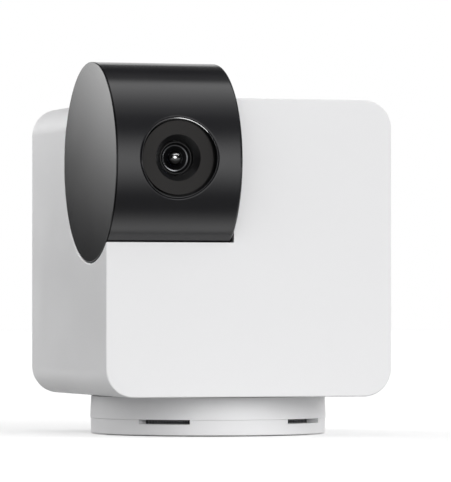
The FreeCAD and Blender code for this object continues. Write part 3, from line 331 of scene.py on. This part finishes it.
def dressNode(name, slot):
    # the CAD solid keeps its shape: welded and split at its sharp edges, it shades smoothly
    piece = nodes[name]
    piece.data.materials.clear()
    piece.data.materials.append(finishes[slot])
    shadeSmooth(piece)
    weld = piece.modifiers.new("weld", "WELD")
    weld.merge_threshold = smoothLook["weld"] * mm
    splitSharpEdges(piece)
    smooth = piece.modifiers.new("smooth", "WEIGHTED_NORMAL")
    smooth.mode = "FACE_AREA_WITH_ANGLE"
    smooth.weight = smoothLook["weight"]


for entry in frame["record"]["subparts"]:
    dressNode(entry["node"], entry["material_slot"])
print("CAD nodes dressed")


def newObject(name, mesh, material):
    piece = bpy.data.objects.new(name, mesh)
    scene.collection.objects.link(piece)
    piece.data.materials.append(material)
    return piece


def meshFrom(name, shape):
    mesh = bpy.data.meshes.new(name)
    shape.to_mesh(mesh)
    shape.free()
    return mesh


# small pieces that the solids leave out, each riding on the body that carries it


def addPiece(name, shape, material, body):
    # doubles merged and faces turned outwards before it becomes an object
    bmesh.ops.remove_doubles(shape, verts=shape.verts, dist=smoothLook["merge"] * mm)
    bmesh.ops.recalc_face_normals(shape, faces=shape.faces)
    piece = newObject(name, meshFrom(name, shape), material)
    shadeSmooth(piece)
    splitSharpEdges(piece)
    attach(piece, body)
    return piece


def spinProfile(points, centre, axis, steps):
    # turns a profile all the way round an axis; each point is a distance along the axis and a radius, in mm
    shape = bmesh.new()
    along = Vector((1, 0, 0)) if axis == "X" else Vector((0, 1, 0))
    out = Vector((0, 0, 1)) if axis == "X" else Vector((1, 0, 0))
    verts = [shape.verts.new(Vector(centre) + along * place * mm + out * radius * mm)
             for place, radius in points]
    edges = [shape.edges.new(pair) for pair in zip(verts, verts[1:])]
    bmesh.ops.spin(shape, geom=verts + edges, cent=centre, axis=along, angle=math.radians(360), steps=steps,
                   use_merge=True)
    return shape


# the barrel in steps, with a small bevel on each front edge: depths behind the window's face and radii in mm
barrelLook = {"outside": 3.5, "front": 1.95, "length": 6.6, "edge": 3.38, "step": 2.62, "stepDepth": 2.5,
              "cut": 0.1, "seat": 1.52, "seatDepth": 3.4, "steps": 96}


def makeBarrel():
    look = barrelLook
    front, cut, edge, step = look["front"], look["cut"], look["edge"], look["step"]
    shape = spinProfile([(look["length"], look["outside"]), (front + cut, look["outside"]),
                         (front + cut, edge + cut), (front, edge), (front, edge - cut),
                         (front + 2 * cut, edge - 2 * cut), (look["stepDepth"] + cut, step + 2 * cut),
                         (look["stepDepth"], step + cut), (look["stepDepth"] + cut, step),
                         (look["seatDepth"], look["seat"]), (look["length"], look["seat"]),
                         (look["length"], look["outside"])], (lensX, windowLow[1], lensZ), "Y", look["steps"])
    piece = addPiece("lens_barrel_stepped", shape, finishes["lens_metal"], "camera_drum")
    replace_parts(piece, "lens_barrel")


# a nickel ring let into the barrel's step, in mm: how far in and out of the step it reaches, how far it
# stands above it, how far its face slopes in towards the glass, and its depth
innerEdgeLook = {"in": 0.05, "out": 0.18, "above": 0.05, "slope": 0.11, "deep": 0.4, "steps": 96}


def makeInnerEdge():
    look = innerEdgeLook
    inner, outer = barrelLook["step"] - look["in"], barrelLook["step"] + look["out"]
    level = barrelLook["stepDepth"] - look["above"]
    shape = spinProfile([(level, outer), (level + look["slope"], inner), (level + look["deep"], inner),
                         (level + look["deep"], outer), (level, outer)],
                        (lensX, windowLow[1], lensZ), "Y", look["steps"])
    # dark nickel plate: a mid grey metal that glints
    addPiece("barrel_inner_edge", shape, makeBrushed("darkNickelPlate", "#77787A", "#5F6062", 0.28, 0.2, "Y"),
             "camera_drum")


# flat contacts on both faces of the socket's tongue: how many, sizes and pitch in mm
contactLook = {"count": 9, "pitch": 0.6, "wide": 0.3, "long": 2.4, "thick": 0.04, "back": 0.5, "bevel": 0.01}


def makeContacts():
    look = contactLook
    tongueLow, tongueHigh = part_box("socket_tongue")
    middle = (tongueLow[0] + tongueHigh[0]) / 2
    for side, level in (("lower", tongueLow[2]), ("upper", tongueHigh[2])):
        shape = bmesh.new()
        for number in range(look["count"]):
            across = middle + (number - (look["count"] - 1) / 2) * look["pitch"] * mm
            end = tongueHigh[1] - (look["back"] + look["long"] / 2) * mm
            made = bmesh.ops.create_cube(shape, size=mm)
            bmesh.ops.scale(shape, vec=(look["wide"], look["long"], look["thick"]), verts=made["verts"])
            bmesh.ops.translate(shape, vec=(across, end, level), verts=made["verts"])
        bmesh.ops.bevel(shape, geom=shape.edges[:], offset=look["bevel"] * mm, affect="EDGES", segments=1,
                        profile=0.5, material=-1)
        addPiece(f"contacts_{side}", shape, finishes["bronze"], "base")


# the end cap: a thin disc with a groove behind its rim, where it meets the sleeve. Sizes in mm;
# plug is how far inside the rim the hidden plug ends
capLook = {"round": 0.06, "flange": 0.1, "groove": 0.3, "depth": 0.5, "plug": 2.2, "steps": 160}


def makeEndCap():
    look = capLook
    capLow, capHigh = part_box("drum_cap")
    radius = drumRadius / mm
    thick = (capHigh[0] - capLow[0]) / mm
    grooveEnd = look["flange"] + look["groove"]
    inner = radius - look["depth"]
    plug = radius - look["plug"]
    shape = spinProfile([(0, 0), (0, radius - look["round"]), (look["round"], radius), (look["flange"], radius),
                         (look["flange"], inner), (grooveEnd, inner), (grooveEnd, plug), (thick, plug),
                         (thick, 0)], (capLow[0], drumY, drumZ), "X", look["steps"])
    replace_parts(addPiece("end_cap", shape, finishes["black_drum"], "camera_drum"), "drum_cap")


# a bead round the opening for the lens follows the drum's curve. Sizes in mm: wide and drop are its slope,
# inset and sunk the flat inside it and how far this lies below the drum's skin, deep where its foot ends
beadLook = {"radius": 8.36, "wide": 0.16, "drop": 0.14, "inset": 0.06, "sunk": 0.02, "deep": 1.2, "steps": 128}


def makeOpeningBead():
    look = beadLook
    outer, inner = look["radius"] + look["wide"], look["radius"] - look["inset"]
    shape = spinProfile([(look["deep"], outer), (look["drop"], outer), (look["sunk"], look["radius"]),
                         (look["sunk"], inner), (look["deep"], inner), (look["deep"], outer)],
                        (lensX, drumY - drumRadius, lensZ), "Y", look["steps"])
    for vert in shape.verts:
        rise = vert.co.z - drumZ
        vert.co.y += drumRadius - math.sqrt(drumRadius ** 2 - rise ** 2)
    addPiece("opening_bead", shape, finishes["black_drum"], "camera_drum")


# a woven sheet stands behind each pair of slots in the base; its greys are painted shade, standing in for the
# base's dim inside seen through the slots: places in degrees round the base, sizes in mm
slotShadeScreenLook = {"radius": 23.0, "thick": 0.3, "low": 2.1, "high": 4.5, "spread": 31,
              "middles": (-128.7, -51.3, 51.3, 128.7), "steps": 16,
              "light": "#929294", "dark": "#38383A", "pitch": 0.5}


def makeSlotShadeScreens():
    look = slotShadeScreenLook
    # the sheet's light and dark greys are painted shade of the base's inside, seen through the slots
    material = makeWoven("slotShadeScreen", look["light"], look["dark"], look["pitch"])
    for number, middle in enumerate(look["middles"], 1):
        turn = math.radians(middle - look["spread"] / 2)
        shape = bmesh.new()
        foot = (look["radius"] * mm * math.cos(turn), look["radius"] * mm * math.sin(turn))
        post = [shape.verts.new((*foot, look[key] * mm)) for key in ("low", "high")]
        edge = shape.edges.new(post)
        bmesh.ops.spin(shape, geom=post + [edge], cent=(0, 0, 0), axis=(0, 0, 1),
                       angle=math.radians(look["spread"]), steps=look["steps"], use_merge=False)
        bmesh.ops.recalc_face_normals(shape, faces=shape.faces)
        bmesh.ops.solidify(shape, geom=shape.faces[:], thickness=look["thick"] * mm)
        addPiece(f"vent_screen_{number}", shape, material, "base")


# the cloth that is glued behind the grille's holes, in front of the speaker, sizes in mm
clothLook = {"radius": 12.5, "thick": 0.2, "gap": 0.03, "steps": 64,
             "light": "#3E3E40", "dark": "#131314", "pitch": 0.45}


def makeGrilleCloth():
    look = clothLook
    speakerLow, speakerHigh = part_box("speaker")
    middle = ((speakerLow[0] + speakerHigh[0]) / 2, (speakerLow[2] + speakerHigh[2]) / 2)
    shape = bmesh.new()
    bmesh.ops.create_circle(shape, cap_ends=True, segments=look["steps"], radius=look["radius"] * mm)
    bmesh.ops.rotate(shape, cent=(0, 0, 0), matrix=Matrix.Rotation(math.radians(90), 3, "X"),
                     verts=shape.verts)
    bmesh.ops.translate(shape, vec=(middle[0], speakerHigh[1] - look["gap"] * mm, middle[1]),
                        verts=shape.verts)
    grown = bmesh.ops.extrude_face_region(shape, geom=shape.faces[:])
    back = [v for v in grown["geom"] if isinstance(v, bmesh.types.BMVert)]
    bmesh.ops.translate(shape, vec=(0, -look["thick"] * mm, 0), verts=back)
    addPiece("grille_cloth", shape, makeWoven("wovenAcousticCloth", look["light"], look["dark"], look["pitch"]),
             "head")


makeBarrel()
makeInnerEdge()
makeContacts()
makeEndCap()
makeOpeningBead()
makeSlotShadeScreens()
makeGrilleCloth()
print("small pieces added")


# stage: floor, studio cards, lights and camera


def seenFactor(tree):
    # 1 where the camera sees the surface, straight, in a reflection or through glass, and 0 for the light that
    # the surface throws
    path = addNode(tree, "LightPath")
    seen = addNode(tree, "Math", {0: path.outputs["Is Camera Ray"], 1: path.outputs["Is Glossy Ray"]},
                   operation="MAXIMUM")
    seen = addNode(tree, "Math", {0: seen.outputs["Value"], 1: path.outputs["Is Transmission Ray"]},
                   operation="MAXIMUM")
    return seen.outputs["Value"]


# a white table top: half its size, middle and reach in metres, and lift is how much brighter the camera sees
# it. near and far are what it throws back on the object, from in front of the base and from further off
floorLook = {"size": 4.0, "colour": "#F2F2F2", "lift": 0.33,
             "near": "#B4B4B4", "far": "#707070", "middle": (0.03, -0.02, 0), "reach": (0.04, 0.11)}


def makeFloor():
    # it reflects as pale paint does, and the camera sees it lifted to white round the soft shadow
    look = floorLook
    shape = bmesh.new()
    bmesh.ops.create_grid(shape, x_segments=1, y_segments=1, size=look["size"])
    material, tree, shader = newFinish("paleTableTop", look["colour"], 0.9, Specular_IOR_Level=0.0)
    seen = seenFactor(tree)
    out = addNode(tree, "VectorMath", {0: addNode(tree, "TexCoord").outputs["Object"]}, {1: look["middle"]},
                  operation="DISTANCE")
    away = addNode(tree, "MapRange", {"Value": out.outputs["Value"]},
                   {"From Min": look["reach"][0], "From Max": look["reach"][1]})
    thrown = addNode(tree, "ValToRGB", {"Fac": away.outputs["Result"]})
    thrown.color_ramp.elements[0].color = fromHex(look["near"])
    thrown.color_ramp.elements[1].color = fromHex(look["far"])
    colour = addNode(tree, "Mix", {0: seen, 6: thrown.outputs["Color"]}, {7: fromHex(look["colour"])},
                     data_type="RGBA")
    tree.links.new(colour.outputs[2], shader.inputs["Base Color"])
    lift = addNode(tree, "Math", {0: seen}, {1: look["lift"]}, operation="MULTIPLY")
    shader.inputs["Emission Color"].default_value = (1, 1, 1, 1)
    tree.links.new(lift.outputs["Value"], shader.inputs["Emission Strength"])
    floor = newObject("floor", meshFrom("floor", shape), material)


# how strongly the white world lights the object, and how white the camera sees it
worldLook = {"light": 0.37, "background": 1.0}


def makeWorld():
    world = bpy.data.worlds.new("studio")
    scene.world = world
    world.use_nodes = True
    tree = world.node_tree
    level = addNode(tree, "MapRange", {"Value": seenFactor(tree)},
                    {"To Min": worldLook["light"], "To Max": worldLook["background"]})
    background = tree.nodes["Background"]
    background.inputs["Color"].default_value = (1, 1, 1, 1)
    tree.links.new(level.outputs["Result"], background.inputs["Strength"])


def newGlow(name):
    # a card that only shines: what it gives is linked in, or set on the shader
    material = bpy.data.materials.new(name)
    material.use_nodes = True
    tree = material.node_tree
    tree.nodes.remove(tree.nodes["Principled BSDF"])
    glow = addNode(tree, "Emission")
    tree.links.new(glow.outputs["Emission"], tree.nodes["Material Output"].inputs["Surface"])
    return material, tree, glow


def seenOnlyInReflections(card):
    card.visible_camera = False
    card.visible_diffuse = False
    card.visible_transmission = False
    card.visible_volume_scatter = False
    card.visible_shadow = False


# a dark card with soft light strips along it, sizes in metres. It lies on the table from reach in front of the
# drum's axis out to its radius, and bends from there up and over that axis, as far as top in degrees. width is
# half its width, and ground its height over the table
frontCardLook = {
    "radius": 0.55, "width": 0.5, "top": 150, "ground": 0.25 * mm, "reach": 0.009, "steps": 40, "dark": 0.18,
    # each strip by its elevation in degrees seen from the drum's axis: its middle, how far it fades below and
    # above that, and its strength; the last one takes light away
    "strips": [(98, 54, 11, 1.4), (1.5, 42, 38, 1.45), (-71.5, 8, 24, 1.05), (128, 18, 22, -0.13)],
}


def makeFrontCard():
    look = frontCardLook
    shape = bmesh.new()
    start = [shape.verts.new((side * look["width"] + lensX, drumY - look["radius"], drumZ))
             for side in (-1, 1)]
    edge = shape.edges.new(start)
    bmesh.ops.spin(shape, geom=start + [edge], cent=(0, drumY, drumZ), axis=(-1, 0, 0),
                   angle=math.radians(look["top"]), steps=look["steps"], use_merge=False)
    below = bmesh.ops.extrude_edge_only(shape, edges=[edge])
    low = [v for v in below["geom"] if isinstance(v, bmesh.types.BMVert)]
    for vert in low:
        vert.co.z = look["ground"]
    lowEdge = [e for e in below["geom"]
               if isinstance(e, bmesh.types.BMEdge) and all(v in low for v in e.verts)]
    front = bmesh.ops.extrude_edge_only(shape, edges=lowEdge)
    for vert in [v for v in front["geom"] if isinstance(v, bmesh.types.BMVert)]:
        vert.co.y = drumY - look["reach"]
    material, tree, glow = newGlow("frontCard")
    place = addNode(tree, "SeparateXYZ", {0: addNode(tree, "TexCoord").outputs["Object"]})
    up = addNode(tree, "Math", {0: place.outputs["Z"]}, {1: drumZ}, operation="SUBTRACT")
    out = addNode(tree, "Math", {1: place.outputs["Y"]}, {0: drumY}, operation="SUBTRACT")
    angle = addNode(tree, "Math", {0: up.outputs["Value"], 1: out.outputs["Value"]}, operation="ARCTAN2")
    strips = []
    for middle, below, above, strength in look["strips"]:
        rise = addNode(tree, "MapRange", {"Value": angle.outputs["Value"]},
                       {"From Min": math.radians(middle - below), "From Max": math.radians(middle),
                        "To Min": 0.0, "To Max": strength}, interpolation_type="SMOOTHSTEP")
        fall = addNode(tree, "MapRange", {"Value": angle.outputs["Value"]},
                       {"From Min": math.radians(middle), "From Max": math.radians(middle + above),
                        "To Min": 1.0, "To Max": 0.0}, interpolation_type="SMOOTHSTEP")
        strips.append(addNode(tree, "Math", {0: rise.outputs["Result"], 1: fall.outputs["Result"]},
                              operation="MULTIPLY"))
    total = addNode(tree, "Math", {0: strips[0].outputs["Value"]}, {1: look["dark"]}, operation="ADD")
    for strip in strips[1:]:
        total = addNode(tree, "Math", {0: total.outputs["Value"], 1: strip.outputs["Value"]}, operation="ADD")
    tree.links.new(total.outputs["Value"], glow.inputs["Strength"])
    seenOnlyInReflections(newObject("frontCard", meshFrom("frontCard", shape), material))


# a card behind the left side, which the drum's end disc mirrors: place, half sizes and heights in metres, turn
# in degrees. It is bright at the top and dark at the table, and brighter away from the object
sideCardLook = {"place": (-0.125, 0.25, 0.2), "size": (0.18, 0.2), "turn": 17,
                "low": 0.038, "high": 0.1, "curve": 1.85, "dim": 0.08, "bright": 1.65,
                "near": -0.096, "far": -0.12, "nearShare": 0.1, "farShare": 2.1}


def makeSideCard():
    look = sideCardLook
    shape = bmesh.new()
    bmesh.ops.create_grid(shape, x_segments=1, y_segments=1, size=1.0)
    bmesh.ops.scale(shape, vec=(*look["size"], 1), verts=shape.verts)
    bmesh.ops.rotate(shape, cent=(0, 0, 0), matrix=Matrix.Rotation(math.radians(90), 3, "X"),
                     verts=shape.verts)
    bmesh.ops.rotate(shape, cent=(0, 0, 0), matrix=Matrix.Rotation(math.radians(look["turn"]), 3, "Z"),
                     verts=shape.verts)
    bmesh.ops.translate(shape, vec=look["place"], verts=shape.verts)
    material, tree, glow = newGlow("sideCard")
    place = addNode(tree, "SeparateXYZ", {0: addNode(tree, "TexCoord").outputs["Object"]})
    rise = addNode(tree, "MapRange", {"Value": place.outputs["Z"]},
                   {"From Min": look["low"], "From Max": look["high"]})
    rise = addNode(tree, "Math", {0: rise.outputs["Result"]}, {1: look["curve"]}, operation="POWER")
    level = addNode(tree, "MapRange", {"Value": rise.outputs["Value"]},
                    {"To Min": look["dim"], "To Max": look["bright"]})
    share = addNode(tree, "MapRange", {"Value": place.outputs["X"]},
                    {"From Min": look["near"], "From Max": look["far"],
                     "To Min": look["nearShare"], "To Max": look["farShare"]})
    total = addNode(tree, "Math", {0: level.outputs["Result"], 1: share.outputs["Result"]},
                    operation="MULTIPLY")
    tree.links.new(total.outputs["Value"], glow.inputs["Strength"])
    seenOnlyInReflections(newObject("sideCard", meshFrom("sideCard", shape), material))


# dark cards stood in an arc round the object: they put the dark lines on the rounded edges of the drum.
# Radius and heights in metres, the arc in degrees from the right, against the clock seen from above
arcCards = {
    "leftCard": {"radius": 0.6, "low": 0.0005, "high": 4.5, "from": 122, "to": 232, "steps": 24, "level": 0.03},
    "rightCard": {"radius": 0.62, "low": 0.04, "high": 1.1, "from": -68, "to": 45, "steps": 24, "level": 0.05},
}


def makeArcCard(name, look):
    shape = bmesh.new()
    turn = math.radians(look["from"])
    foot = (look["radius"] * math.cos(turn), look["radius"] * math.sin(turn))
    post = [shape.verts.new((*foot, z)) for z in (look["low"], look["high"])]
    edge = shape.edges.new(post)
    bmesh.ops.spin(shape, geom=post + [edge], cent=(0, 0, 0), axis=(0, 0, 1),
                   angle=math.radians(look["to"] - look["from"]), steps=look["steps"], use_merge=False)
    material, tree, glow = newGlow(name)
    glow.inputs["Strength"].default_value = look["level"]
    seenOnlyInReflections(newObject(name, meshFrom(name, shape), material))


def newPanelLamp(name, size, power, place, back, lit):
    # a lamp whose light reaches only the pieces named; back is the way to it from what it faces
    lamp = bpy.data.lights.new(name, "AREA")
    lamp.shape = "RECTANGLE"
    lamp.size, lamp.size_y = size
    lamp.energy = power
    holder = bpy.data.objects.new(name, lamp)
    scene.collection.objects.link(holder)
    holder.location = place
    holder.rotation_euler = back.to_track_quat("Z", "Y").to_euler()
    holder.visible_camera = False
    reached = bpy.data.collections.new(name + "Reaches")
    for piece in lit:
        reached.objects.link(bpy.data.objects[piece])
    holder.light_linking.receiver_collection = reached
    return holder


# small panels, each glinting on the pieces named alone: which way from the lens, how far and how large in
# metres, how bright
glintPanels = {
    "sparkPanel": ((-0.065, -0.975, 0.17), 0.5, (0.3, 0.2), 24.0, ["lens_glass"]),
    "crescentPanel": ((0.12, -0.66, 0.74), 0.5, (1.1, 0.16), 6.0, ["lens_glass"]),
    "innerRimPanel": ((0.62, -0.44, 0.64), 0.5, (0.56, 0.32), 4.0, ["barrel_inner_edge"]),
    "beadPanel": ((0.66, -0.085, 0.74), 0.5, (1.1, 0.5), 14.0, ["opening_bead"]),
}


def makeGlintPanel(name, way, away, size, brightness, lit):
    way = Vector(way).normalized()
    place = Vector((lensX, drumY - drumRadius, lensZ)) + way * away
    panel = newPanelLamp(name, size, brightness * math.pi * size[0] * size[1], place, way, lit)
    panel.visible_diffuse = False


# a small lamp close behind the left side: it makes that side lighter towards its rear edge. Metres and watts
edgeLook = {"place": (-0.05, 0.078, 0.045), "aim": (-0.034, 0.03, 0.045), "size": (0.03, 0.08), "power": 0.012}


def makeEdgeLamp():
    look = edgeLook
    back = Vector(look["place"]) - Vector(look["aim"])
    lamp = newPanelLamp("edgeLamp", look["size"], look["power"], look["place"], back, ["shell"])
    lamp.visible_glossy = False


# far soft lamps: azimuth from the front, positive to the right, and elevation, strength, and how wide the lamp
# looks; all but the strength in degrees
lampLooks = {
    "keyLamp": (24, 23, 1.22, 50),
    "frontLamp": (-8, 5, 0.85, 60),
    "leftLamp": (-125, 38, 0.6, 50),
    "backLeftLamp": (-150, 25, 0.32, 50),
    "lowLeftLamp": (-55, 15, 0.36, 60),
    "rightLamp": (75, 20, 0.82, 50),
}


def makeLamp(name, azimuth, elevation, strength, angle):
    lamp = bpy.data.lights.new(name, "SUN")
    lamp.energy = strength
    lamp.angle = math.radians(angle)
    holder = bpy.data.objects.new(name, lamp)
    scene.collection.objects.link(holder)
    turn, rise = math.radians(azimuth), math.radians(elevation)
    source = Vector((math.sin(turn) * math.cos(rise), -math.cos(turn) * math.cos(rise), math.sin(rise)))
    holder.rotation_euler = source.to_track_quat("Z", "Y").to_euler()
    holder.visible_glossy = False


# place and focal length in mm, turn and rise in degrees
cameraLook = {"place": (-269.03, -899.33, 27.49), "turn": 16.891, "rise": 0.917, "lens": 317.06}


def makeCamera():
    look = cameraLook
    data = bpy.data.cameras.new("camera")
    data.lens = look["lens"]
    camera = bpy.data.objects.new("camera", data)
    scene.collection.objects.link(camera)
    camera.location = [value * mm for value in look["place"]]
    camera.rotation_euler = (math.radians(90 + look["rise"]), 0, -math.radians(look["turn"]))
    scene.camera = camera


makeFloor()
makeWorld()
makeFrontCard()
makeSideCard()
for name, look in arcCards.items():
    makeArcCard(name, look)
for name, panel in glintPanels.items():
    makeGlintPanel(name, *panel)
makeEdgeLamp()
for name, look in lampLooks.items():
    makeLamp(name, *look)
makeCamera()
print("stage set")
